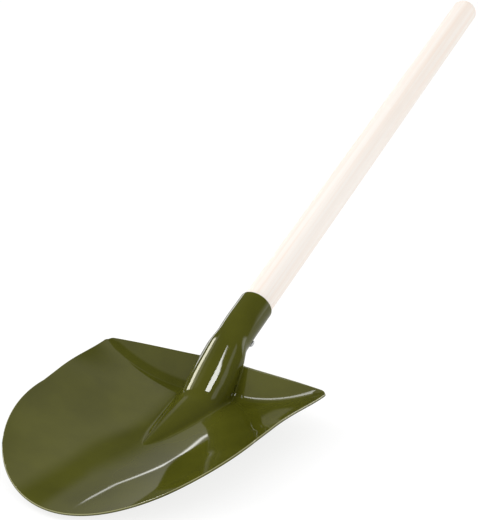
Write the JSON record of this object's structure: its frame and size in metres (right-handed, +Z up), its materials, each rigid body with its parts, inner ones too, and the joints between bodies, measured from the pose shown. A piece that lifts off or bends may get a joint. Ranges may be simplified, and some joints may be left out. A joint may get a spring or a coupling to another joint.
{
  "type": "camp shovel",
  "caption": "Short round-point shovel: one stamped green steel blade with a hollow ridge and rolled socket, on a plain round wooden handle held by a screw.",
  "frame": {"origin": "centre of the bounding box in plan, on the floor under the blade", "axes": "+Z up from the floor the blade lies on, +Y from the blade's tip towards the handle's end, +X to the right seen from behind the handle; the shovel is symmetric about the YZ plane apart from the one socket screw"},
  "size_m": [0.2166, 0.7934, 0.2784],
  "materials": {
    "green_enamel": "gloss olive-green stoving enamel on stamped steel",
    "bare_wood": "pale sanded hardwood, unvarnished",
    "zinc_steel": "bright zinc plating"
  },
  "bodies": {
    "root": {"blade_with_socket": "green_enamel", "handle": "bare_wood", "socket_screw": "zinc_steel"}
  },
  "joints": []
}
